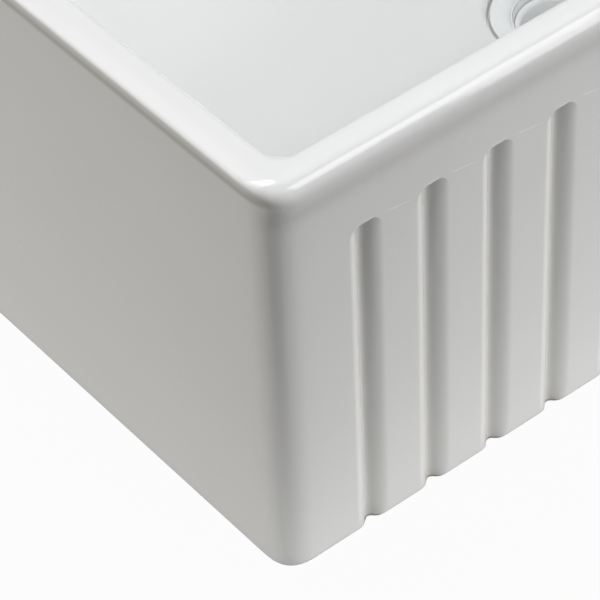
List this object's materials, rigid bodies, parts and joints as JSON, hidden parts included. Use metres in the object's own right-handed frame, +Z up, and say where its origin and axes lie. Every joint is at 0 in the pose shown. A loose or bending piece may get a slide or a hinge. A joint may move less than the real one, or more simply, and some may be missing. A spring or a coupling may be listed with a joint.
{
  "type": "farmhouse apron front sink",
  "caption": "Rectangular glazed fireclay kitchen sink with rolled rim, vertically fluted apron, deep single bowl and a basket strainer waste with lift-out basket and push-down stopper.",
  "frame": {"origin": "on the flat underside of the basin, midway across its width and 60 mm behind the apron", "axes": "+X to the right along the apron, +Y from the apron to the back, +Z up to the rim"},
  "size_m": [0.762, 0.457, 0.3784],
  "materials": {
    "fireclay_glaze": "glossy white glaze, bare clay on the underside",
    "white_enamel": "glossy white enamel",
    "white_rubber": "matte",
    "black_rubber": "matte",
    "fibre_board": "pressed fibre",
    "cast_brass": "cast and tumbled",
    "nylon": "satin",
    "polished_steel": "polished",
    "spring_steel": "brushed"
  },
  "bodies": {
    "sink": {"basin": "fireclay_glaze", "flange_seal": "white_rubber", "strainer_body": "white_enamel", "underside_gasket": "black_rubber", "friction_ring": "fibre_board", "lock_nut": "cast_brass", "tailpiece_washer": "nylon", "tailpiece": "polished_steel", "coupling_nut": "cast_brass"},
    "basket": {"basket_bowl": "white_enamel", "post_guide": "polished_steel", "detent_clip": "spring_steel"},
    "stopper": {"stopper_post": "polished_steel", "stopper_knob": "polished_steel", "backing_plate": "polished_steel", "stopper_seal": "black_rubber", "post_nut": "spring_steel"}
  },
  "joints": [
    {"name": "basket_lift", "type": "slide", "parent": "sink", "child": "basket", "axis": [0, 0, 1], "range_m": [0, 0.32]},
    {"name": "stopper_travel", "type": "slide", "parent": "basket", "child": "stopper", "axis": [0, 0, 1], "range_m": [0, 0.007]}
  ]
}
